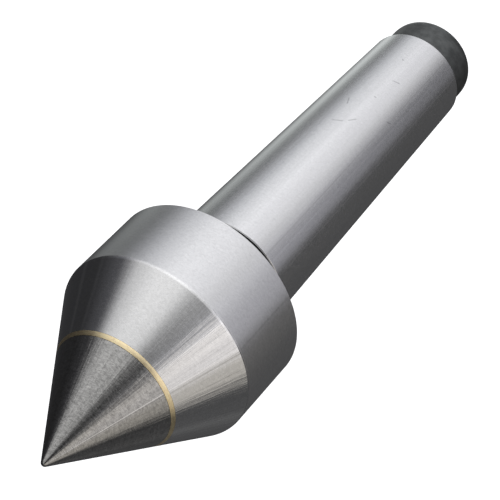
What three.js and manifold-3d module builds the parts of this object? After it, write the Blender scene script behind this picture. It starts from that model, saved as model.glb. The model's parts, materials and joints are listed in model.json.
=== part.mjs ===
// A revolving (live) lathe centre on a Morse 4 taper shank, with its bearings inside the head.
// Millimetres. The spin axis is Y: -Y points at the workpiece, +Y into the tailstock, +Z is up.
// The origin is the middle of the taper's gauge plane, which is the front edge of the shank.
import * as THREE from "three";
import { mergeVertices } from "three/addons/utils/BufferGeometryUtils.js";
import Module from "manifold-3d";

const wasm = await Module();
wasm.setup();

// ---- Driving dimensions -------------------------------------------------------------------

const SEGMENTS = 36; // sides of every turned piece, so that neighbours' flats lie parallel
const FIT = 0.05; // gap left between two pieces that touch
const EDGE = 0.4; // chamfer on the arbor's and the nut's corners
const GROUND_EDGE = 0.25; // broken edge along the ground surfaces

const POINT_HALF_ANGLE = Math.PI / 6; // the point is a 60 degree cone
const TIP_ROUND = 0.9; // radius of the rounded tip

const HEAD_RADIUS = 25;
const HEAD_CYLINDER = 21.4;
const RELIEF = 8.6; // from the head's rear face to the gauge plane

const GAUGE_RADIUS = 31.267 / 2; // Morse 4
const TAPER_RATE = 0.05194 / 2; // radius lost per millimetre of length
const TAPER_LENGTH = 94.3;
const TAIL_RADIUS = 12;
const TAIL_LENGTH = 12.1;
const TAIL_ROUND = 4.2;
const TAIL_ROUND_STEPS = 5;

// The centre hole that the taper was ground on: guard chamfer, 60 degree seat, pilot drilling.
const CENTRE_HOLE = { guard: 6.6, guardDepth: 0.9, seat: 5, pilot: 2, pilotDepth: 9.8, point: 1.2 };

// The brazed joint: a flat seat round a short pilot on the tip.
const BRAZE_FROM_APEX = 27.8;
const BRAZE_THICKNESS = 1;
const PILOT = { radius: 6, depth: 2 };
const WEB = 2; // steel left between the pilot's socket and the bearing bore

// Needle roller bearing on the arbor's nose: 12 bore, 16 outside, 8 long.
const NEEDLE = {
  bore: 6,
  outside: 8,
  length: 8,
  wall: 0.4,
  lipRadius: 6.9,
  roller: 0.72,
  rollerLength: 5.6,
  pitch: 6.77,
  count: 14,
};
// Thrust ball bearing behind it: 17 bore, 30 outside, 9 high.
const THRUST = {
  bore: 8.5,
  outside: 15,
  height: 9,
  washer: 2.8,
  ball: 2.38,
  pitch: 11.75,
  count: 12,
};
// Thin-section ball bearing at the rear: 25 bore, 37 outside, 7 wide.
const RADIAL = {
  bore: 12.5,
  outside: 18.5,
  width: 7,
  ball: 1.75,
  pitch: 15.5,
  count: 15,
  innerShoulder: 14.3,
  outerShoulder: 16.75,
  shieldSeat: 17.65,
  shieldStep: 0.7,
  shieldThickness: 0.3,
};
const RACE_CLEARANCE = 0.2; // from a ball to its groove
const GROOVE_STEPS = 4;

const NOSE_CLEARANCE = 0.6; // from the arbor's nose to the floor of the bore
const NEEDLE_START = 0.3; // from the arbor's nose to the needle bearing
const NEEDLE_TO_THRUST = 0.5;
const JOURNAL_STEP = 0.3; // the thrust journal starts this far behind the step in the head
const HEAD_WASHER_BORE = 9;
const CAGE_GAP = 0.4; // radial gap on both sides of the thrust cage
const BORE_GAP = 0.2; // radial gap round the outside of the thrust bearing

const SNAP_RING = { thickness: 1.2, outside: 14.4, groove: 11.9, land: 1, gap: 4.5 };
const COLLAR_RADIUS = 14;
const COLLAR_REACH = 1.25; // how far the collar stands out behind the head
const RELIEF_RADIUS = 12.5;
const RELIEF_FILLET = 1;
const NUT = {
  radius: 19.5,
  bore: 14.4,
  seat: 16.2,
  lip: 1.2,
  thread: 5.95,
  notchDepth: 1.6,
  notchWidth: 3.2,
  notches: 4,
};
const SEAL = { lipGap: 0.1, wall: 0.6, recess: 0.3, lipLength: 0.8, bevel: 0.5 };

// ---- Stations along the axis, from the workpiece towards the tailstock ---------------------

const HEAD_REAR = -RELIEF;
const CONE_BASE = HEAD_REAR - HEAD_CYLINDER;
const APEX = CONE_BASE - HEAD_RADIUS / Math.tan(POINT_HALF_ANGLE); // where the cone would end
const BRAZE_REAR = APEX + BRAZE_FROM_APEX;
const BRAZE_FRONT = BRAZE_REAR - BRAZE_THICKNESS;
const SOCKET_FLOOR = BRAZE_REAR + PILOT.depth;
const BORE_FLOOR = SOCKET_FLOOR + WEB;
const NOSE = BORE_FLOOR + NOSE_CLEARANCE;
const NEEDLE_FRONT = NOSE + NEEDLE_START;
const NEEDLE_REAR = NEEDLE_FRONT + NEEDLE.length;
const NEEDLE_MIDDLE = (NEEDLE_FRONT + NEEDLE_REAR) / 2;
const THRUST_FRONT = NEEDLE_REAR + NEEDLE_TO_THRUST;
const THRUST_REAR = THRUST_FRONT + THRUST.height;
const THRUST_MIDDLE = (THRUST_FRONT + THRUST_REAR) / 2;
const GROOVE_FRONT = THRUST_REAR + SNAP_RING.land;
const RADIAL_FRONT = GROOVE_FRONT + SNAP_RING.thickness;
const RADIAL_REAR = RADIAL_FRONT + RADIAL.width;
const RADIAL_MIDDLE = (RADIAL_FRONT + RADIAL_REAR) / 2;
const COLLAR_REAR = HEAD_REAR + COLLAR_REACH;
const TAIL_END = TAPER_LENGTH + TAIL_LENGTH;

// ---- Finishes -----------------------------------------------------------------------------

const metal = (color, roughness) =>
  new THREE.MeshStandardMaterial({ color, roughness, metalness: 1 });
const groundSteel = metal(0xb9babd, 0.3);
const carbide = metal(0x9b9895, 0.28);
const brazeBrass = metal(0xc9a368, 0.35);
const blackedSteel = metal(0x3a3b3d, 0.5);
const bearingSteel = metal(0xc4c6c8, 0.15);
const pressedSteel = metal(0xa9a9a6, 0.35);
const cageBrass = metal(0xb08d4a, 0.35);
const nitrile = new THREE.MeshStandardMaterial({ color: 0x161617, roughness: 0.75 });

// ---- Shape helpers ------------------------------------------------------------------------

// A solid of revolution about Y. The section is a list of [radius, station] corners, which
// either starts and ends on the axis or is a closed outline clear of it.
function turned(section, segments = SEGMENTS) {
  const corners = section[0][0] > 0 ? [...section, section[0]] : section;
  const points = corners.map(([radius, station]) => new THREE.Vector2(radius, station));
  return new THREE.LatheGeometry(points, segments);
}

// A plain ring between two radii and two stations.
function ringSection(inner, outer, front, rear) {
  return [
    [inner, front],
    [outer, front],
    [outer, rear],
    [inner, rear],
  ];
}

// Corners along an arc in the section plane, angles in degrees from the outward direction.
function arc(radius, station, size, from, to, steps) {
  return Array.from({ length: steps + 1 }, (_, i) => {
    const angle = THREE.MathUtils.degToRad(from + ((to - from) * i) / steps);
    return [radius + size * Math.cos(angle), station + size * Math.sin(angle)];
  });
}

// A closed mesh as a solid that can be joined and cut.
function solidOf(geometry) {
  const bare = geometry.clone();
  bare.deleteAttribute("normal");
  bare.deleteAttribute("uv");
  const merged = mergeVertices(bare, 1e-4);
  const vertProperties = merged.attributes.position.array;
  const triVerts = new Uint32Array(merged.index.array);
  return new wasm.Manifold(new wasm.Mesh({ numProp: 3, vertProperties, triVerts }));
}

function geometryOf(solid) {
  const mesh = solid.getMesh();
  const geometry = new THREE.BufferGeometry();
  geometry.setAttribute("position", new THREE.BufferAttribute(mesh.vertProperties, 3));
  geometry.setIndex(new THREE.BufferAttribute(mesh.triVerts, 1));
  geometry.computeVertexNormals();
  return geometry;
}

// The same cutter taken out of a body at even steps round the axis, the first one at +Z.
function cutAround(body, cutter, count) {
  let left = solidOf(body);
  for (let i = 0; i < count; i++) {
    const turn = new THREE.Matrix4().makeRotationY((2 * Math.PI * i) / count);
    left = left.subtract(solidOf(cutter.clone().applyMatrix4(turn)));
  }
  return geometryOf(left);
}

const coneRadius = (station) => (station - APEX) * Math.tan(POINT_HALF_ANGLE);
const taperRadius = (station) => GAUGE_RADIUS - TAPER_RATE * station;
const degrees = (cosine) => THREE.MathUtils.radToDeg(Math.acos(cosine));

// ---- Shank and arbor, one piece of steel ---------------------------------------------------

function arborSection() {
  const { guard, guardDepth, seat, pilot, pilotDepth, point } = CENTRE_HOLE;
  const seatDepth = (seat - pilot) / Math.tan(POINT_HALF_ANGLE);
  const tailRound = { radius: TAIL_RADIUS - TAIL_ROUND, station: TAIL_END - TAIL_ROUND };
  return [
    [0, NOSE],
    [NEEDLE.bore - EDGE, NOSE],
    [NEEDLE.bore, NOSE + EDGE],
    [NEEDLE.bore, THRUST_FRONT + JOURNAL_STEP],
    [THRUST.bore, THRUST_FRONT + JOURNAL_STEP],
    [THRUST.bore, THRUST_REAR],
    [RADIAL.bore, THRUST_REAR],
    [RADIAL.bore, GROOVE_FRONT],
    [SNAP_RING.groove, GROOVE_FRONT],
    [SNAP_RING.groove, RADIAL_FRONT],
    [RADIAL.bore, RADIAL_FRONT],
    [RADIAL.bore, RADIAL_REAR],
    [COLLAR_RADIUS, RADIAL_REAR],
    [COLLAR_RADIUS, COLLAR_REAR - EDGE],
    [COLLAR_RADIUS - EDGE, COLLAR_REAR],
    [RELIEF_RADIUS, COLLAR_REAR],
    ...arc(RELIEF_RADIUS + RELIEF_FILLET, -RELIEF_FILLET, RELIEF_FILLET, 180, 90, 2),
    [GAUGE_RADIUS - GROUND_EDGE, 0],
    [taperRadius(GROUND_EDGE), GROUND_EDGE],
    [taperRadius(TAPER_LENGTH - GROUND_EDGE), TAPER_LENGTH - GROUND_EDGE],
    [taperRadius(TAPER_LENGTH) - GROUND_EDGE, TAPER_LENGTH],
    [TAIL_RADIUS, TAPER_LENGTH],
    ...arc(tailRound.radius, tailRound.station, TAIL_ROUND, 0, 90, TAIL_ROUND_STEPS),
    [guard, TAIL_END],
    [seat, TAIL_END - guardDepth],
    [pilot, TAIL_END - guardDepth - seatDepth],
    [pilot, TAIL_END - pilotDepth],
    [0, TAIL_END - pilotDepth - point],
  ];
}

// ---- Rotating head -------------------------------------------------------------------------

function headSection() {
  const nutSeat = HEAD_REAR - NUT.thread;
  return [
    [0, SOCKET_FLOOR],
    [PILOT.radius + FIT, SOCKET_FLOOR],
    [PILOT.radius + FIT, BRAZE_REAR],
    [coneRadius(BRAZE_REAR), BRAZE_REAR],
    [coneRadius(CONE_BASE - GROUND_EDGE), CONE_BASE - GROUND_EDGE],
    [HEAD_RADIUS, CONE_BASE + GROUND_EDGE],
    [HEAD_RADIUS, HEAD_REAR - GROUND_EDGE],
    [HEAD_RADIUS - GROUND_EDGE, HEAD_REAR],
    [NUT.radius + EDGE, HEAD_REAR],
    [NUT.radius, HEAD_REAR - EDGE],
    [NUT.radius, nutSeat],
    [RADIAL.outside, nutSeat],
    [RADIAL.outside, RADIAL_FRONT],
    [THRUST.outside + BORE_GAP, RADIAL_FRONT],
    [THRUST.outside + BORE_GAP, THRUST_FRONT],
    [NEEDLE.outside, THRUST_FRONT],
    [NEEDLE.outside, BORE_FLOOR],
    [0, BORE_FLOOR],
  ];
}

function tipSection() {
  const front = BRAZE_FRONT - FIT;
  const pilotEnd = SOCKET_FLOOR - FIT;
  return [
    ...arc(0, APEX + 2 * TIP_ROUND, TIP_ROUND, -90, -30, 3),
    [coneRadius(front), front],
    [PILOT.radius, front],
    [PILOT.radius, pilotEnd],
    [0, pilotEnd],
  ];
}

function brazeSection() {
  const inner = PILOT.radius + FIT;
  const rear = BRAZE_REAR - FIT;
  return [
    [inner, BRAZE_FRONT],
    [coneRadius(BRAZE_FRONT), BRAZE_FRONT],
    [coneRadius(rear), rear],
    [inner, rear],
  ];
}

// The ring nut that closes the head, with spanner notches across its rear face.
function ringNut() {
  const front = RADIAL_REAR + FIT;
  const outer = NUT.radius - FIT;
  const section = [
    [NUT.bore, front],
    [outer - EDGE, front],
    [outer, front + EDGE],
    [outer, HEAD_REAR - EDGE],
    [outer - EDGE, HEAD_REAR],
    [NUT.seat, HEAD_REAR],
    [NUT.seat, front + NUT.lip],
    [NUT.bore, front + NUT.lip],
  ];
  const across = 2 * (outer - NUT.seat);
  const notch = new THREE.BoxGeometry(NUT.notchWidth, 2 * NUT.notchDepth, across);
  notch.translate(0, HEAD_REAR, (outer + NUT.seat) / 2);
  return cutAround(turned(section), notch, NUT.notches);
}

// Lip seal pressed into the nut: a flat case with one lip that runs on the arbor's collar.
function sealSection() {
  const front = RADIAL_REAR + NUT.lip + 2 * FIT;
  const rear = HEAD_REAR - SEAL.recess;
  const lip = COLLAR_RADIUS + SEAL.lipGap;
  const lipRear = rear - SEAL.bevel;
  const lipFront = lipRear - SEAL.lipLength;
  return [
    [lip + SEAL.wall, front],
    [NUT.seat - FIT, front],
    [NUT.seat - FIT, rear],
    [lip + SEAL.bevel, rear],
    [lip, lipRear],
    [lip, lipFront],
    [lip + SEAL.wall, lipFront - SEAL.wall],
  ];
}

// ---- Rear ball bearing ---------------------------------------------------------------------

const RADIAL_RACE = RADIAL.ball + RACE_CLEARANCE;
const RADIAL_HALF = RADIAL.width / 2 - FIT;

function innerRaceSection() {
  const bore = RADIAL.bore + FIT;
  const shoulder = RADIAL.innerShoulder;
  const reach = degrees((RADIAL.pitch - shoulder) / RADIAL_RACE);
  return [
    [bore, RADIAL_MIDDLE - RADIAL_HALF],
    [shoulder, RADIAL_MIDDLE - RADIAL_HALF],
    ...arc(RADIAL.pitch, RADIAL_MIDDLE, RADIAL_RACE, 180 + reach, 180 - reach, GROOVE_STEPS),
    [shoulder, RADIAL_MIDDLE + RADIAL_HALF],
    [bore, RADIAL_MIDDLE + RADIAL_HALF],
  ];
}

function outerRaceSection() {
  const { shieldSeat, outerShoulder: shoulder } = RADIAL;
  const step = RADIAL_HALF - RADIAL.shieldStep;
  const outer = RADIAL.outside - FIT;
  const reach = degrees((shoulder - RADIAL.pitch) / RADIAL_RACE);
  return [
    [shieldSeat, RADIAL_MIDDLE - RADIAL_HALF],
    [outer, RADIAL_MIDDLE - RADIAL_HALF],
    [outer, RADIAL_MIDDLE + RADIAL_HALF],
    [shieldSeat, RADIAL_MIDDLE + RADIAL_HALF],
    [shieldSeat, RADIAL_MIDDLE + step],
    [shoulder, RADIAL_MIDDLE + step],
    ...arc(RADIAL.pitch, RADIAL_MIDDLE, RADIAL_RACE, reach, -reach, GROOVE_STEPS),
    [shoulder, RADIAL_MIDDLE - step],
    [shieldSeat, RADIAL_MIDDLE - step],
  ];
}

// A shield lies against the step in the outer race, in front (side -1) or behind (side 1).
function shieldSection(side) {
  const near = RADIAL_MIDDLE + side * (RADIAL_HALF - RADIAL.shieldStep + FIT);
  const far = near + side * RADIAL.shieldThickness;
  const inner = RADIAL.innerShoulder + FIT * 3;
  return ringSection(inner, RADIAL.shieldSeat - FIT, Math.min(near, far), Math.max(near, far));
}

function radialCage() {
  const halfWidth = 2.35;
  const [inner, outer] = [14.8, 16.2];
  const ring = ringSection(inner, outer, RADIAL_MIDDLE - halfWidth, RADIAL_MIDDLE + halfWidth);
  const pocket = new THREE.CylinderGeometry(RADIAL.ball + 0.15, RADIAL.ball + 0.15, 4, 12);
  pocket.rotateX(Math.PI / 2).translate(0, RADIAL_MIDDLE, RADIAL.pitch);
  return cutAround(turned(ring, 2 * RADIAL.count), pocket, RADIAL.count);
}

// ---- Thrust ball bearing -------------------------------------------------------------------

// A washer with its ball groove: side -1 bears on the head, side 1 on the arbor's shoulder.
function washerSection(side, inner, outer) {
  const back = THRUST_MIDDLE + side * (THRUST.height / 2 - FIT);
  const face = THRUST_MIDDLE + side * (THRUST.height / 2 - THRUST.washer);
  const race = THRUST.ball + RACE_CLEARANCE;
  const reach = degrees(Math.abs(face - THRUST_MIDDLE) / race);
  const [from, to] = [side * (90 + reach), side * (90 - reach)];
  const groove = arc(THRUST.pitch, THRUST_MIDDLE, race, from, to, GROOVE_STEPS);
  const section = [[inner, face], ...groove, [outer, face], [outer, back], [inner, back]];
  return side > 0 ? section : section.reverse();
}

function thrustCage() {
  const halfHeight = 0.9;
  const inner = THRUST.bore + CAGE_GAP;
  const outer = THRUST.outside + BORE_GAP - CAGE_GAP;
  const ring = ringSection(inner, outer, THRUST_MIDDLE - halfHeight, THRUST_MIDDLE + halfHeight);
  const hole = new THREE.CylinderGeometry(THRUST.ball + 0.15, THRUST.ball + 0.15, 4, 12);
  hole.translate(0, THRUST_MIDDLE, THRUST.pitch);
  return cutAround(turned(ring), hole, THRUST.count);
}

// ---- Needle roller bearing -----------------------------------------------------------------

function needleCupSection() {
  const outer = NEEDLE.outside - FIT;
  const inner = NEEDLE.outside - NEEDLE.wall;
  return [
    [outer, NEEDLE_FRONT],
    [outer, NEEDLE_REAR],
    [NEEDLE.lipRadius, NEEDLE_REAR],
    [NEEDLE.lipRadius, NEEDLE_REAR - NEEDLE.wall],
    [inner, NEEDLE_REAR - NEEDLE.wall],
    [inner, NEEDLE_FRONT + NEEDLE.wall],
    [NEEDLE.lipRadius, NEEDLE_FRONT + NEEDLE.wall],
    [NEEDLE.lipRadius, NEEDLE_FRONT],
  ];
}

function needleCage() {
  const halfLength = 3.4;
  const [inner, outer] = [6.35, 7.15];
  const ring = ringSection(inner, outer, NEEDLE_MIDDLE - halfLength, NEEDLE_MIDDLE + halfLength);
  const width = 2 * NEEDLE.roller + 0.12;
  const slot = new THREE.BoxGeometry(width, NEEDLE.rollerLength + 0.2, 3);
  slot.translate(0, NEEDLE_MIDDLE, NEEDLE.pitch);
  return cutAround(turned(ring, 2 * NEEDLE.count), slot, NEEDLE.count);
}

// ---- Snap ring: an open ring in the arbor's groove -----------------------------------------

function snapRing() {
  const front = GROOVE_FRONT + FIT;
  const rear = RADIAL_FRONT - FIT;
  const section = ringSection(SNAP_RING.groove + FIT, SNAP_RING.outside, front, rear);
  const depth = 2 * (SNAP_RING.outside - SNAP_RING.groove);
  const gap = new THREE.BoxGeometry(SNAP_RING.gap, 2 * SNAP_RING.thickness, 2 * depth);
  gap.translate(0, (front + rear) / 2, SNAP_RING.outside);
  return cutAround(turned(section), gap, 1);
}

// ---- Assembly ------------------------------------------------------------------------------

const group = new THREE.Group();

function add(name, geometry, material) {
  const mesh = new THREE.Mesh(geometry, material);
  mesh.name = name;
  group.add(mesh);
  return mesh;
}

// Rolling elements at even steps on a pitch circle, each its own mesh, the first one at +Z.
function addAround(name, geometry, material, { count, pitch }, station) {
  for (let i = 0; i < count; i++) {
    const angle = (2 * Math.PI * i) / count;
    const element = add(`${name}_${i + 1}`, geometry, material);
    element.position.set(pitch * Math.sin(angle), station, pitch * Math.cos(angle));
    element.rotation.y = angle;
  }
}

add("shank_arbor", turned(arborSection()), groundSteel);
add("head_shell", turned(headSection()), groundSteel);
add("tip_insert", turned(tipSection()), carbide);
add("braze_ring", turned(brazeSection()), brazeBrass);
add("ring_nut", ringNut(), blackedSteel);
add("shaft_seal", turned(sealSection()), nitrile);
add("snap_ring", snapRing(), blackedSteel);

add("radial_inner_race", turned(innerRaceSection()), bearingSteel);
add("radial_outer_race", turned(outerRaceSection()), bearingSteel);
add("radial_front_shield", turned(shieldSection(-1)), pressedSteel);
add("radial_rear_shield", turned(shieldSection(1)), pressedSteel);
add("radial_cage", radialCage(), pressedSteel);
const radialBall = new THREE.SphereGeometry(RADIAL.ball, 8, 6);
addAround("radial_ball", radialBall, bearingSteel, RADIAL, RADIAL_MIDDLE);

const headWasher = washerSection(-1, HEAD_WASHER_BORE, THRUST.outside + BORE_GAP - FIT);
const arborWasher = washerSection(1, THRUST.bore + FIT, THRUST.outside - BORE_GAP);
add("thrust_head_washer", turned(headWasher), bearingSteel);
add("thrust_arbor_washer", turned(arborWasher), bearingSteel);
add("thrust_cage", thrustCage(), cageBrass);
const thrustBall = new THREE.SphereGeometry(THRUST.ball, 10, 6);
addAround("thrust_ball", thrustBall, bearingSteel, THRUST, THRUST_MIDDLE);

add("needle_cup", turned(needleCupSection()), pressedSteel);
add("needle_cage", needleCage(), pressedSteel);
const needleRoller = new THREE.CylinderGeometry(
  NEEDLE.roller,
  NEEDLE.roller,
  NEEDLE.rollerLength,
  8,
);
addAround("needle_roller", needleRoller, bearingSteel, NEEDLE, NEEDLE_MIDDLE);

export default group;
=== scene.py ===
"""Looks of a revolving lathe centre on a Morse 4 shank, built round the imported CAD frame.

Metres, in the frame's axes: the spin axis is Y, the point faces -Y and +Z is up. Every turned
piece is a section revolved about Y, and a section is a list of (radius, station) corners.
"""
import json
import math

import bmesh
import bpy
from mathutils import Matrix, Vector


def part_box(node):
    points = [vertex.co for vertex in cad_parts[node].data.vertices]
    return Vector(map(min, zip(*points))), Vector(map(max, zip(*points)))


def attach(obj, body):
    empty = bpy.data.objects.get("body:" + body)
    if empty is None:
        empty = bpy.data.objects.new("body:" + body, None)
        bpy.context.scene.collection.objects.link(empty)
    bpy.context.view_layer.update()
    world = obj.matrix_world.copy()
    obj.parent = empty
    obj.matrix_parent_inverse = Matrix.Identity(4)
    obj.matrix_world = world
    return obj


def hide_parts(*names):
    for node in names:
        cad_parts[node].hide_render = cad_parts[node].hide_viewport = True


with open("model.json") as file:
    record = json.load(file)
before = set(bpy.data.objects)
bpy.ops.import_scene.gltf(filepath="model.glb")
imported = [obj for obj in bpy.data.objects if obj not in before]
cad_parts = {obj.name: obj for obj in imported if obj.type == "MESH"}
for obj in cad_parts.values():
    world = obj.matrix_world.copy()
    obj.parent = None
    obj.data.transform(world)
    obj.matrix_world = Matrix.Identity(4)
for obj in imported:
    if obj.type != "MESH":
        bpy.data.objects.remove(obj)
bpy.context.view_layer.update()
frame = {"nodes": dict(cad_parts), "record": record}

MM = 0.001
NEAR = 0.001 * MM  # places closer together than this count as one
TURN = 2 * math.pi


# ---- Sizes read from the frame -------------------------------------------------------------

def stations(node):
    """First and last station of a node along the axis."""
    low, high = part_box(node)
    return low.y, high.y


def radius_of(node):
    """Largest radius of a node."""
    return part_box(node)[1].z


TIP_ROUND = 0.9 * MM
APEX = stations("tip_insert")[0] - TIP_ROUND  # where the point's cone would end
HALF_ANGLE = math.radians(30)  # of the point's cone
CONE_BASE = -30 * MM  # the edge between the head's cone and its cylinder
TAPER_END = 94.3 * MM  # where the ground taper ends and the black tail begins
COLLAR_FRONT = -13.8 * MM  # the collar and the relief behind it get the black finish as painted shade under the head


# ---- Camera --------------------------------------------------------------------------------

def add_camera():
    """The photograph's view: from the pointed end, from the right and from above."""
    azimuth, elevation = math.radians(31.64), math.radians(40.19)
    left, below, away = 44.37 * MM, 46.05 * MM, 411.75 * MM  # of the apex, from the lens
    back = Vector((math.sin(azimuth) * math.cos(elevation),
                   -math.cos(azimuth) * math.cos(elevation),
                   math.sin(elevation)))
    right = Vector((math.cos(azimuth), math.sin(azimuth), 0))
    up = back.cross(right)
    lens = bpy.data.cameras.new("camera")
    lens.lens = 140.43
    lens.sensor_width = 36
    lens.clip_start = 0.01
    camera = bpy.data.objects.new("camera", lens)
    bpy.context.scene.collection.objects.link(camera)
    camera.location = Vector((0, APEX, 0)) + left * right + below * up + away * back
    camera.rotation_euler = back.to_track_quat("Z", "Y").to_euler()
    bpy.context.scene.camera = camera


# ---- Node helpers --------------------------------------------------------------------------

class Nodes:
    """A node tree being built, with one short call for each kind of node."""

    def __init__(self, tree):
        self.tree = tree
        tree.nodes.clear()

    def new(self, kind, **settings):
        node = self.tree.nodes.new(kind)
        for name, value in settings.items():
            setattr(node, name, value)
        return node

    def link(self, output, socket):
        self.tree.links.new(output, socket)

    def feed(self, socket, value):
        """Links an output to a socket, or sets a plain value on it."""
        if isinstance(value, bpy.types.NodeSocket):
            self.link(value, socket)
        else:
            socket.default_value = value

    def math(self, operation, *values):
        node = self.new("ShaderNodeMath", operation=operation)
        for socket, value in zip(node.inputs, values):
            self.feed(socket, value)
        return node.outputs[0]

    def ramp(self, value, low, high, to_low=0.0, to_high=1.0):
        """The value from low to high mapped to to_low..to_high, clamped and eased at both ends."""
        node = self.new("ShaderNodeMapRange", interpolation_type="SMOOTHSTEP")
        for socket, v in zip(node.inputs, (value, low, high, to_low, to_high)):
            self.feed(socket, v)
        return node.outputs[0]

    def multiply(self, *values):
        product = values[0]
        for value in values[1:]:
            product = self.math("MULTIPLY", product, value)
        return product

    def mix(self, factor, a, b):
        node = self.new("ShaderNodeMix", data_type="RGBA")
        self.feed(node.inputs[0], factor)
        self.feed(node.inputs[6], a)
        self.feed(node.inputs[7], b)
        return node.outputs[2]

    def noise(self, vector, scale, detail=2.0, roughness=0.5, distortion=0.0):
        node = self.new("ShaderNodeTexNoise")
        self.link(vector, node.inputs["Vector"])
        node.inputs["Scale"].default_value = scale
        node.inputs["Detail"].default_value = detail
        node.inputs["Roughness"].default_value = roughness
        node.inputs["Distortion"].default_value = distortion
        return node.outputs["Fac"]

    def vector(self, x, y, z):
        node = self.new("ShaderNodeCombineXYZ")
        for socket, value in zip(node.inputs, (x, y, z)):
            self.feed(socket, value)
        return node.outputs[0]


# ---- Light ---------------------------------------------------------------------------------

# The studio is a dark room with soft panels round the part. A panel is a window in two angles:
# round the part's axis, where 0 is the +X side and 90 is overhead, and away from the pointed end,
# where 0 is straight ahead of the point and 180 is straight behind the shank.
NEUTRAL = (1, 1, 1)
WARM = (1.06, 1, 0.91)
COOL = (0.98, 0.98, 1.08)
GREENISH = (0.96, 1.01, 1)
PANELS = [
    # middle, half width, edge;  from, to, edge;  brightness;  tint
    ((103, 32, 22), (-60, 115, 35), 0.49, NEUTRAL),  # overhead, ahead of the point
    ((0, 32, 16), (-25, 112, 30), 0.45, WARM),  # right side, ahead of the point
    ((98, 50, 46), (95, 290, 75), 0.36, COOL),  # overhead, behind
    ((193, 15, 40), (135, 205, 30), 1.48, GREENISH),  # strip low on the left, behind
    ((305, 60, 90), (-70, 155, 50), 0.054, NEUTRAL),  # glow of the floor
    ((130, 16, 100), (135, 175, 80), 0.70, GREENISH),  # upper left, behind
    ((76, 39, 50), (68, 146, 14), 0.65, NEUTRAL),  # overhead, beside the part
    ((20, 24, 22), (68, 136, 14), 0.46, COOL),  # right side, beside the part
    ((19, 9, 10), (58, 90, 24), 0.15, WARM),  # bright middle of the right side
    ((285, 5, 12), (20, 112, 14), 0.05, NEUTRAL),  # faint strip on the floor
]
ROOM = (0.032, 0.032, 0.034)


def add_world():
    world = bpy.data.worlds.new("studio")
    bpy.context.scene.world = world
    world.use_nodes = True
    n = Nodes(world.node_tree)
    toward = n.new("ShaderNodeTexCoord").outputs["Generated"]
    axes = n.new("ShaderNodeSeparateXYZ")
    n.link(toward, axes.inputs[0])
    x, y, z = axes.outputs
    around = n.math("ARCTAN2", z, x)
    ahead = n.math("ARCCOSINE", n.multiply(y, -1.0))
    total = ROOM
    for (middle, half, edge), (start, stop, end_edge), brightness, tint in PANELS:
        turn = n.math("SUBTRACT", around, math.radians(middle))
        off = n.math("ABSOLUTE", n.math("WRAP", turn, math.pi, -math.pi))
        half, edge, start, stop, end_edge = map(math.radians, (half, edge, start, stop, end_edge))
        across = n.ramp(off, half + edge / 2, half - edge / 2)
        opens = n.ramp(ahead, start - end_edge / 2, start + end_edge / 2)
        closes = n.ramp(ahead, stop + end_edge / 2, stop - end_edge / 2)
        share = n.multiply(across, opens, closes)
        scaled = n.new("ShaderNodeVectorMath", operation="SCALE")
        scaled.inputs[0].default_value = tint
        n.link(n.multiply(share, brightness), scaled.inputs["Scale"])
        add = n.new("ShaderNodeVectorMath", operation="ADD")
        n.feed(add.inputs[0], total)
        n.link(scaled.outputs[0], add.inputs[1])
        total = add.outputs[0]
    light = n.new("ShaderNodeBackground")
    n.link(total, light.inputs["Color"])
    paper = n.new("ShaderNodeBackground")
    paper.inputs["Color"].default_value = (1, 1, 1, 1)
    path = n.new("ShaderNodeLightPath")
    shown = n.new("ShaderNodeMixShader")
    n.link(path.outputs["Is Camera Ray"], shown.inputs[0])
    n.link(light.outputs[0], shown.inputs[1])
    n.link(paper.outputs[0], shown.inputs[2])
    output = n.new("ShaderNodeOutputWorld")
    n.link(shown.outputs[0], output.inputs["Surface"])


# ---- Materials -----------------------------------------------------------------------------

def new_material(name):
    material = bpy.data.materials.new(name)
    material.use_nodes = True
    return material, Nodes(material.node_tree)


def principled(n, **sockets):
    shader = n.new("ShaderNodeBsdfPrincipled")
    for name, value in sockets.items():
        n.feed(shader.inputs[name.replace("_", " ")], value)
    output = n.new("ShaderNodeOutputMaterial")
    n.link(shader.outputs[0], output.inputs["Surface"])


def bumped(n, height):
    """A normal from a height in millimetres."""
    bump = n.new("ShaderNodeBump")
    bump.inputs["Strength"].default_value = 1
    bump.inputs["Distance"].default_value = MM
    n.link(height, bump.inputs["Height"])
    return bump.outputs[0]


def lathe_coordinates(n):
    """Place in metres, then angle round the axis, station and radius in millimetres."""
    place = n.new("ShaderNodeTexCoord").outputs["Object"]
    axes = n.new("ShaderNodeSeparateXYZ")
    n.link(place, axes.inputs[0])
    x, y, z = axes.outputs
    angle = n.math("ARCTAN2", z, x)
    radius = n.math("SQRT", n.math("ADD", n.multiply(x, x), n.multiply(z, z)))
    return place, angle, n.math("DIVIDE", y, MM), n.math("DIVIDE", radius, MM)


def stretched(n, place, around, along):
    """Millimetre coordinates with their own scale around and along the axis."""
    scaled = n.new("ShaderNodeVectorMath", operation="MULTIPLY")
    n.link(place, scaled.inputs[0])
    scaled.inputs[1].default_value = (around / MM, along / MM, around / MM)
    return scaled.outputs[0]


PAINTED_BAND_END = 0.1  # over which each band of painted highlight and painted shade fades at its two ends, in mm


def painted_band_along(n, angle, middle, half_width):
    """1 on a band along the surface at one angle, where highlight and shade are painted, fading to
    0 at its sides, in degrees.
    """
    off = n.math("ABSOLUTE", n.math("SUBTRACT", angle, math.radians(middle)))
    return n.ramp(off, math.radians(half_width), 0.0)


SCUFF_WIDTH = 0.32  # from the middle of a scuff to its faded side, in mm
SCUFF_DEPTH = 0.3  # share of tone lost in a scuff
SCUFF_CORE = 0.6  # share of a scuff's length that is at full depth


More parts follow.
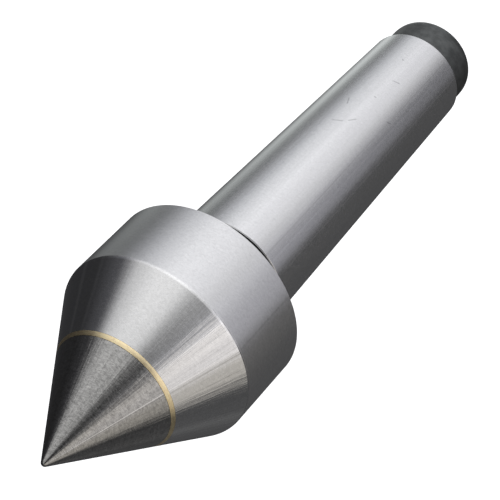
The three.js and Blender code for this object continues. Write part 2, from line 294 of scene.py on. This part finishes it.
def scuff(n, angle, station, radius, mark):
    """1 on a short scratch: its angle, station, half length and lean, in degrees and mm."""
    middle, at, reach, lean = mark
    across = n.multiply(n.math("SUBTRACT", angle, math.radians(middle)), radius)
    along = n.math("SUBTRACT", station, at)
    cosine, sine = math.cos(math.radians(lean)), math.sin(math.radians(lean))
    u = n.math("ADD", n.multiply(across, cosine), n.multiply(along, sine))
    v = n.math("SUBTRACT", n.multiply(along, cosine), n.multiply(across, sine))
    length = n.ramp(n.math("ABSOLUTE", u), reach, SCUFF_CORE * reach)
    width = n.ramp(n.math("ABSOLUTE", v), SCUFF_WIDTH, 0.0)
    return n.multiply(length, width)


NOISE_RANGE = (0.3, 0.7)  # most of a noise's values lie between these
STREAK_CIRCLE = 9.0  # radius of the circle in the noise that gives the streaks; more is finer
STREAK_RUN = 0.012  # the noise's steps per mm along a streak; less is straighter
STREAK_SIDE = (50, 66)  # the streaks fade out between these angles, in degrees
STREAK_FAINT = 0.1  # share of the streaks left past that side, and again behind the cone
SPECKLE_REAR = 0.9  # share of the speckles' height left behind the cone
CONE_FADE = 0.3  # over which the finish changes behind the cone, in mm
GROUND_SWING = 0.02  # how far the speckles change the roughness either way
PLAIN_SWING = 0.03  # the same for the fine noise of a plain metal


def ground_metal(name, colour, roughness, anisotropy, grain=(0.9, 2.4), speckle=0.0,
                 speckle_tone=0.0, streaks=0.0, streak_tone=0.0, cone_end=None,
                 rear_roughness=None, painted_bands=(), scuffs=()):
    """Metal ground while it turned. Speckles are short marks round the surface and streaks are
    long marks along it, each with a height in mm and a share of tone. On a piece with a
    cone_end the streaks keep to the side below STREAK_SIDE, and behind that station both kinds
    are weaker and the roughness is rear_roughness."""
    material, n = new_material(name)
    place, angle, station, radius = lathe_coordinates(n)
    marks = n.noise(stretched(n, place, *grain), 1.0, detail=3.0, roughness=0.6,
                    distortion=1.0)
    circle = n.vector(n.multiply(n.math("COSINE", angle), STREAK_CIRCLE),
                      n.multiply(station, STREAK_RUN),
                      n.multiply(n.math("SINE", angle), STREAK_CIRCLE))
    streak = n.noise(circle, 1.0, detail=5.0, roughness=0.74)
    share = 1.0
    marks_share = 1.0
    if cone_end is not None:
        change = (station, cone_end, cone_end + CONE_FADE)
        side = n.ramp(angle, *map(math.radians, STREAK_SIDE), 1.0, STREAK_FAINT)
        share = n.multiply(side, n.ramp(*change, 1.0, STREAK_FAINT))
        marks_share = n.ramp(*change, 1.0, SPECKLE_REAR)
        roughness = n.ramp(*change, roughness, rear_roughness)
    height = n.math("ADD", n.multiply(marks, speckle, marks_share),
                    n.multiply(streak, radius, streaks, share))
    tone = n.math("ADD", 1.0, n.multiply(n.math("SUBTRACT", marks, 0.5), speckle_tone))
    swing = n.multiply(n.math("SUBTRACT", streak, 0.5), streak_tone, share)
    tone = n.math("ADD", tone, swing)
    # Painted highlights and painted shade: bands of tone at set angles round the axis, standing in
    # for the studio's reflections and shadows
    for middle, half_width, strength, first, last in painted_bands:
        inside = n.multiply(n.ramp(station, first - PAINTED_BAND_END, first + PAINTED_BAND_END),
                            n.ramp(station, last + PAINTED_BAND_END, last - PAINTED_BAND_END))
        painted_band = n.multiply(painted_band_along(n, angle, middle, half_width), inside, strength)
        tone = n.math("ADD", tone, painted_band)
    for mark in scuffs:
        shade = n.multiply(scuff(n, angle, station, radius, mark), SCUFF_DEPTH)
        tone = n.math("SUBTRACT", tone, shade)
    scaled = n.new("ShaderNodeVectorMath", operation="SCALE")
    scaled.inputs[0].default_value = colour
    n.link(tone, scaled.inputs["Scale"])
    rough = n.math("ADD", roughness,
                   n.ramp(marks, *NOISE_RANGE, -GROUND_SWING, GROUND_SWING))
    tangent = n.new("ShaderNodeTangent", direction_type="RADIAL", axis="Y")
    principled(n, Base_Color=scaled.outputs[0], Metallic=1.0, Roughness=rough,
               Anisotropic=anisotropy, Anisotropic_Rotation=0.25, Tangent=tangent.outputs[0],
               Normal=bumped(n, height))
    return material


def plain_metal(name, colour, roughness, mottle, relief=0.003):
    """Metal without a direction of finish: a mottled tone and a faint relief in mm."""
    material, n = new_material(name)
    place = n.new("ShaderNodeTexCoord").outputs["Object"]
    fine = n.noise(place, 3.0 / MM, detail=3.0)
    wide = n.noise(place, 0.45 / MM, detail=3.0, roughness=0.6)
    darker = tuple(c * (1 - mottle) for c in colour)
    lighter = tuple(c * (1 + mottle) for c in colour)
    tone = n.mix(n.ramp(wide, *NOISE_RANGE), (*darker, 1), (*lighter, 1))
    rough = n.ramp(fine, *NOISE_RANGE, roughness - PLAIN_SWING, roughness + PLAIN_SWING)
    principled(n, Base_Color=tone, Metallic=1.0, Roughness=rough,
               Normal=bumped(n, n.multiply(fine, relief)))
    return material


def moulded_rubber(name):
    material, n = new_material(name)
    place = n.new("ShaderNodeTexCoord").outputs["Object"]
    fine = n.noise(place, 2.5 / MM, detail=4.0)
    tone = n.mix(fine, (0.012, 0.012, 0.012, 1), (0.03, 0.03, 0.03, 1))
    principled(n, Base_Color=tone, Roughness=n.ramp(fine, *NOISE_RANGE, 0.6, 0.75),
               Normal=bumped(n, n.multiply(fine, 0.01)))
    return material


CONE = (APEX / MM, CONE_BASE / MM)
CYLINDER = (CONE_BASE / MM, 0)
TAPER = (0, TAPER_END / MM)
# Bands of painted highlight and painted shade: angle, half width, change of tone, first and last
# station.
SHELL_PAINTED_BANDS = [
    (25.6, 1.0, 0.14, *CONE),
    (23.4, 1.2, -0.16, *CONE),
    (43.0, 3.0, 0.22, *CONE),
    (120.4, 2.4, 0.25, *CONE),
    (134.5, 3.0, 0.3, *CONE),
    (24.6, 1.1, -0.14, *CYLINDER),
]
SHANK_PAINTED_BANDS = [
    (44.0, 1.3, -0.09, *TAPER),
    (36.0, 1.6, 0.06, *TAPER),
    (21.0, 1.4, 0.12, *TAPER),
]
TIP_PAINTED_BANDS = [
    (26.0, 0.7, 0.7, *CONE),
    (24.4, 0.9, -0.35, *CONE),
    (56.0, 8.0, -0.25, *CONE),
]
# Scuffs: angle, station, half length, lean from straight round the shank.
SCUFFS = [
    (80.4, 82.9, 0.5, 40),
    (67.8, 73.9, 1.3, -20),
    (91.6, 58.8, 1.7, 72),
    (83.8, 50.1, 1.7, -30),
    (73.0, 52.9, 1.5, -58),
    (43.5, 61.2, 0.9, -40),
    (72.9, 64.7, 0.4, 0),
]

MATERIALS = {
    "ground_steel": ground_metal(
        "ground_steel", (0.72, 0.72, 0.72), 0.15, 0.4, grain=(1.4, 2.2), speckle=0.004,
        speckle_tone=0.5, streaks=0.005, streak_tone=0.5, cone_end=CONE_BASE / MM,
        rear_roughness=0.30, painted_bands=SHELL_PAINTED_BANDS),
    "shank_steel": ground_metal(
        "shank_steel", (0.72, 0.72, 0.72), 0.25, 0.4, grain=(1.4, 1.8), speckle=0.002,
        speckle_tone=0.32, streaks=0.0012, streak_tone=0.2, painted_bands=SHANK_PAINTED_BANDS,
        scuffs=SCUFFS),
    "carbide": ground_metal(
        "carbide", (0.42, 0.415, 0.405), 0.12, 0.4, grain=(1.2, 2.4), speckle=0.005,
        speckle_tone=1.5, streaks=0.006, streak_tone=1.0, painted_bands=TIP_PAINTED_BANDS),
    "braze": ground_metal(
        "braze", (0.95, 0.79, 0.50), 0.36, 0.3, speckle=0.006, speckle_tone=1.0),
    "blacked_steel": plain_metal("blacked_steel", (0.125, 0.130, 0.128), 0.5, 0.2),
    "bearing_steel": plain_metal("bearing_steel", (0.72, 0.73, 0.74), 0.14, 0.03, 0.0005),
    "pressed_steel": plain_metal("pressed_steel", (0.60, 0.60, 0.58), 0.32, 0.06, 0.001),
    "cage_brass": plain_metal("cage_brass", (0.70, 0.52, 0.25), 0.34, 0.06, 0.001),
    "nitrile": moulded_rubber("nitrile"),
}


# ---- Shape helpers -------------------------------------------------------------------------

def rounded(corners, steps=4):
    """A section whose corners are rounded. A corner is (radius, station, size of rounding)."""
    points = []
    for i, (radius, station, size) in enumerate(corners):
        here = Vector((radius, station))
        if not size:
            points.append(here)
            continue
        before = (Vector(corners[i - 1][:2]) - here).normalized()
        after = (Vector(corners[(i + 1) % len(corners)][:2]) - here).normalized()
        half = math.acos(max(-1, min(1, before.dot(after)))) / 2
        cut = size / math.tan(half)
        centre = here + (before + after).normalized() * size / math.sin(half)
        start, stop = here + before * cut - centre, here + after * cut - centre
        turn = start.angle_signed(stop)
        for k in range(steps + 1):
            points.append(centre + Matrix.Rotation(-turn * k / steps, 2) @ start)
    return points


SHARP_TURN = math.radians(31)  # more than this is a corner
SLIGHT_TURN = math.radians(4)  # less than this is straight on
CORNER_SHARE = 0.3  # the most of the shorter side that rounding takes at a sharp corner
ARC_SHARE = 0.45  # the same where the coarse steps of an arc are smoothed


def softened(points, size):
    """The points of a section with the sharp corners rounded to one size, and with the coarse
    steps of arcs made smooth."""
    count = len(points)
    closed = points[0].x > 0
    corners = []
    for i, point in enumerate(points):
        rounding = 0
        if closed or i not in (0, count - 1):
            into = point - points[i - 1]
            out = points[(i + 1) % count] - point
            turn = abs(into.angle_signed(out, 0))
            room = min(into.length, out.length)
            if turn > SHARP_TURN:
                rounding = min(size, CORNER_SHARE * room)
            elif turn > SLIGHT_TURN:
                rounding = ARC_SHARE * room / math.tan(turn / 2)
        corners.append((point.x, point.y, rounding))
    return rounded(corners)


SIDES = 192  # of a turned piece
FINE_SIDES = 256  # of the large pieces in full view
CAGE_SIDES = 190  # no multiple of a pocket count, so that no pocket's edge falls on a side's edge
SMALL_SIDES = 96
NEEDLE_SIDES = 40
ROD_SIDES = 40
BALL_SIDES = 48


def revolve(section, segments=SIDES):
    """A bmesh of a section revolved about Y. An open section starts and ends on the axis."""
    closed = section[0].x > 0
    mesh = bmesh.new()
    rings = []
    for point in section:
        if point.x < NEAR:
            rings.append([mesh.verts.new((0, point.y, 0))] * segments)
            continue
        rings.append([mesh.verts.new((point.x * math.sin(TURN * i / segments), point.y,
                                      point.x * math.cos(TURN * i / segments)))
                      for i in range(segments)])
    pairs = list(zip(rings, rings[1:]))
    if closed:
        pairs.append((rings[-1], rings[0]))
    for lower, upper in pairs:
        for i in range(segments):
            j = (i + 1) % segments
            loop = []
            for v in (lower[i], lower[j], upper[j], upper[i]):
                if v not in loop:
                    loop.append(v)
            if len(loop) > 2:
                mesh.faces.new(loop)
    bmesh.ops.recalc_face_normals(mesh, faces=mesh.faces)
    return mesh


def linked_object(name, mesh):
    """An object from a bmesh, which is used up."""
    data = bpy.data.meshes.new(name)
    mesh.to_mesh(data)
    mesh.free()
    obj = bpy.data.objects.new(name, data)
    bpy.context.scene.collection.objects.link(obj)
    return obj


def carved(body, cutter):
    """The bmesh that is left of a body after a cutter is taken out of it."""
    whole = linked_object("whole", body)
    tool = linked_object("tool", cutter)
    cut = whole.modifiers.new("cut", "BOOLEAN")
    cut.object = tool
    cut.operation = "DIFFERENCE"
    cut.solver = "EXACT"
    depsgraph = bpy.context.evaluated_depsgraph_get()
    left = bmesh.new()
    left.from_mesh(whole.evaluated_get(depsgraph).to_mesh())
    bmesh.ops.remove_doubles(left, verts=left.verts, dist=NEAR)
    bmesh.ops.dissolve_degenerate(left, edges=left.edges, dist=NEAR)
    for obj in (whole, tool):
        data = obj.data
        bpy.data.objects.remove(obj)
        bpy.data.meshes.remove(data)
    return left


def cutters_around(count, make):
    """One bmesh with the same cutter at even steps round the axis, the first one at +Z."""
    mesh = bmesh.new()
    for i in range(count):
        start = len(mesh.verts)
        make(mesh)
        mesh.verts.ensure_lookup_table()
        spin = Matrix.Rotation(TURN * i / count, 4, "Y")
        bmesh.ops.transform(mesh, matrix=spin, verts=mesh.verts[start:])
    return mesh


def add_box(mesh, size, centre):
    matrix = Matrix.Translation(centre) @ Matrix.Diagonal((*size, 1))
    bmesh.ops.create_cube(mesh, size=1, matrix=matrix)


def add_rod(mesh, radius, length, centre, along="Z"):
    turn = Matrix.Rotation(TURN / 4, 4, "X") if along == "Y" else Matrix()
    bmesh.ops.create_cone(mesh, cap_ends=True, segments=ROD_SIDES, radius1=radius,
                          radius2=radius, depth=length, matrix=Matrix.Translation(centre) @ turn)


def finish_piece(node, slot, mesh, material=None):
    """A visible piece from a bmesh: shading, the material of its slot and body, in the CAD node's
    place.
    """
    for face in mesh.faces:
        face.smooth = True
    for edge in mesh.edges:
        edge.smooth = len(edge.link_faces) == 2 and edge.calc_face_angle(0) < SHARP_TURN
    piece = linked_object("fine_" + node, mesh)
    weighted = piece.modifiers.new("even_normals", "WEIGHTED_NORMAL")
    weighted.keep_sharp = True
    piece.data.materials.append(MATERIALS[material or slot])
    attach(piece, body_of(node))
    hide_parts(node)
    return piece


def body_of(node):
    for body, nodes in frame["record"]["behaviour"]["bodies"].items():
        if node in nodes:
            return body
    raise KeyError(node)


def section_of(node):
    """A turned node's own section, as points in order round its outline. It starts on the axis
    where the outline reaches the axis."""
    mesh = bmesh.new()
    mesh.from_mesh(frame["nodes"][node].data)
    bmesh.ops.remove_doubles(mesh, verts=mesh.verts, dist=NEAR)
    left = [v for v in mesh.verts if abs(v.co.x) < NEAR and v.co.z > -NEAR]
    here = min(left, key=lambda v: (v.co.z > NEAR, v.co.y))
    points = []
    while here:
        points.append(Vector((max(here.co.z, 0), here.co.y)))
        left.remove(here)
        joined = [e.other_vert(here) for e in here.link_edges if e.other_vert(here) in left]
        level = [v for v in left if abs(v.co.y - here.co.y) < NEAR]
        level.sort(key=lambda v: abs(v.co.z - here.co.z))
        here = (joined or level or [None])[0]
    mesh.free()
    return points


def ring_section(inner, outer, front, rear):
    corners = ((inner, front), (outer, front), (outer, rear), (inner, rear))
    return [Vector(corner) for corner in corners]


# ---- Turned pieces -------------------------------------------------------------------------

JOINT_EDGE = 0.015 * MM  # edges ground flush where two pieces meet on the cone
JOINT_GAP = 0.04 * MM  # taken up on the braze's rear face, so that no groove shows


def add_turned(node, slot, size=0.1 * MM, segments=SIDES, material=None, section=None):
    """A turned piece with its corners rounded to a size."""
    outline = softened(section or section_of(node), size)
    return finish_piece(node, slot, revolve(outline, segments), material)


def braze_section():
    """The braze with its cone carried on to the shell, closing the gap behind it."""
    points = section_of("braze_ring")
    rear = max(point.y for point in points)
    for point in points:
        if abs(point.y - rear) < NEAR:
            point.y += JOINT_GAP
            if point.x > radius_of("braze_ring") / 2:
                point.x += JOINT_GAP * math.tan(HALF_ANGLE)
    return points


arbor = add_turned("shank_arbor", "ground_steel", segments=FINE_SIDES,
                   material="shank_steel")
arbor.data.materials.append(MATERIALS["blacked_steel"])
# The tail behind the taper is black-oxided; the collar, the relief and the taper's front face get
# the same black as painted shade, for the shadow under the head
for face in arbor.data.polygons:
    behind_taper = face.center.y > TAPER_END - NEAR
    painted_shade_in_relief = COLLAR_FRONT < face.center.y < NEAR
    face.material_index = int(behind_taper or painted_shade_in_relief)

add_turned("head_shell", "ground_steel", JOINT_EDGE, FINE_SIDES)
add_turned("tip_insert", "carbide", JOINT_EDGE, FINE_SIDES)
add_turned("braze_ring", "braze", JOINT_EDGE, FINE_SIDES, section=braze_section())
add_turned("shaft_seal", "nitrile")

for race in ("radial_inner_race", "radial_outer_race"):
    add_turned(race, "bearing_steel", 0.2 * MM)
for washer in ("thrust_head_washer", "thrust_arbor_washer"):
    add_turned(washer, "bearing_steel", 0.3 * MM)
for shield in ("radial_front_shield", "radial_rear_shield"):
    add_turned(shield, "pressed_steel", 0.1 * MM)
add_turned("needle_cup", "pressed_steel", 0.15 * MM, SMALL_SIDES)


# ---- Carved pieces -------------------------------------------------------------------------

# In millimetres; whatever isn't here comes from the frame.
NUT = {"bore": 14.4, "seat": 16.2, "lip": 1.2, "edge": 0.4,
       "notches": 4, "notch_width": 3.2, "notch_depth": 1.6}
SNAP_RING = {"inner": 11.95, "gap": 4.5}
RADIAL_CAGE = {"inner": 14.8, "pocket": 1.9, "pitch": 15.5, "count": 15}
THRUST_CAGE = {"inner": 8.9, "hole": 2.53, "pitch": 11.75, "count": 12}
NEEDLE_CAGE = {"inner": 6.35, "slot_width": 1.56, "slot_length": 5.8, "pitch": 6.77, "count": 14}


def add_ring_nut():
    front, rear = stations("ring_nut")
    outer = radius_of("ring_nut")
    bore, seat, edge = NUT["bore"] * MM, NUT["seat"] * MM, NUT["edge"] * MM
    step = front + NUT["lip"] * MM
    corners = [(bore, front), (outer - edge, front), (outer, front + edge),
               (outer, rear - edge), (outer - edge, rear), (seat, rear), (seat, step),
               (bore, step)]
    body = revolve(softened([Vector(corner) for corner in corners], 0.1 * MM))
    size = (NUT["notch_width"] * MM, 2 * NUT["notch_depth"] * MM, 2 * (outer - seat))
    centre = (0, rear, (outer + seat) / 2)
    notches = cutters_around(NUT["notches"], lambda mesh: add_box(mesh, size, centre))
    finish_piece("ring_nut", "blacked_steel", carved(body, notches))


def add_snap_ring():
    front, rear = stations("snap_ring")
    inner, outer = SNAP_RING["inner"] * MM, -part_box("snap_ring")[0].z
    body = revolve(softened(ring_section(inner, outer, front, rear), 0.12 * MM))
    size = (SNAP_RING["gap"] * MM, 2 * (rear - front), 3 * (outer - inner))
    gap = cutters_around(1, lambda mesh: add_box(mesh, size, (0, (front + rear) / 2, outer)))
    finish_piece("snap_ring", "blacked_steel", carved(body, gap))


def add_cage(node, slot, cage, edge, make_cutter):
    """A ring with a pocket for each rolling element."""
    front, rear = stations(node)
    inner, outer = cage["inner"] * MM, radius_of(node)
    body = revolve(softened(ring_section(inner, outer, front, rear), edge), CAGE_SIDES)
    centre = (0, (front + rear) / 2, cage["pitch"] * MM)
    cutters = cutters_around(cage["count"], lambda mesh: make_cutter(mesh, centre))
    finish_piece(node, slot, carved(body, cutters))


CUTTER = 4 * MM  # longer than any cage is thick


def radial_pocket(mesh, centre):
    add_rod(mesh, RADIAL_CAGE["pocket"] * MM, CUTTER, centre)


def thrust_hole(mesh, centre):
    add_rod(mesh, THRUST_CAGE["hole"] * MM, CUTTER, centre, along="Y")


def needle_slot(mesh, centre):
    size = (NEEDLE_CAGE["slot_width"] * MM, NEEDLE_CAGE["slot_length"] * MM, CUTTER)
    add_box(mesh, size, centre)


add_ring_nut()
add_snap_ring()
add_cage("radial_cage", "pressed_steel", RADIAL_CAGE, 0.15 * MM, radial_pocket)
add_cage("thrust_cage", "cage_brass", THRUST_CAGE, 0.2 * MM, thrust_hole)
add_cage("needle_cage", "pressed_steel", NEEDLE_CAGE, 0.1 * MM, needle_slot)


# ---- Rolling elements ----------------------------------------------------------------------

def middle_of(node):
    low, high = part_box(node)
    return (low + high) / 2


def ball_section(radius):
    steps = BALL_SIDES // 2
    points = []
    for i in range(steps):
        turn = TURN * i / BALL_SIDES
        points.append(Vector((radius * math.sin(turn), -radius * math.cos(turn))))
    return points + [Vector((0, radius))]


def needle_section():
    """A needle with rounded ends."""
    radius, end = NEEDLE["radius"], NEEDLE["length"] / 2
    rounding = NEEDLE["rounding"]
    return rounded([(0, -end, 0), (radius, -end, rounding), (radius, end, rounding), (0, end, 0)])


def add_rolling(prefix, section, segments):
    """A piece for every element under one name, at the element's own place."""
    for node in sorted(frame["nodes"]):
        if not node.startswith(prefix):
            continue
        mesh = revolve(section, segments)
        bmesh.ops.translate(mesh, verts=mesh.verts, vec=middle_of(node))
        finish_piece(node, "bearing_steel", mesh)


RADIAL_BALL = 1.75 * MM
THRUST_BALL = 2.38 * MM
NEEDLE = {"radius": 0.72 * MM, "length": 5.6 * MM, "rounding": 0.25 * MM}

add_rolling("radial_ball_", ball_section(RADIAL_BALL), BALL_SIDES)
add_rolling("thrust_ball_", ball_section(THRUST_BALL), BALL_SIDES)
add_rolling("needle_roller_", needle_section(), NEEDLE_SIDES)


# ---- Floor, camera and light ---------------------------------------------------------------

FLOOR_REACH = 20
FLOOR_LEVEL = -0.12  # far enough below the part to catch no dark shadow


def add_floor():
    mesh = bmesh.new()
    bmesh.ops.create_grid(mesh, x_segments=1, y_segments=1, size=FLOOR_REACH)
    floor = linked_object("floor", mesh)
    floor.location.z = FLOOR_LEVEL
    material, n = new_material("floor")
    principled(n, Base_Color=(0.9, 0.9, 0.9, 1), Roughness=0.9,
               Emission_Color=(1, 1, 1, 1), Emission_Strength=0.6)
    floor.data.materials.append(material)
    floor.visible_glossy = False


add_floor()
add_camera()
add_world()
bpy.context.scene.view_settings.view_transform = "Standard"
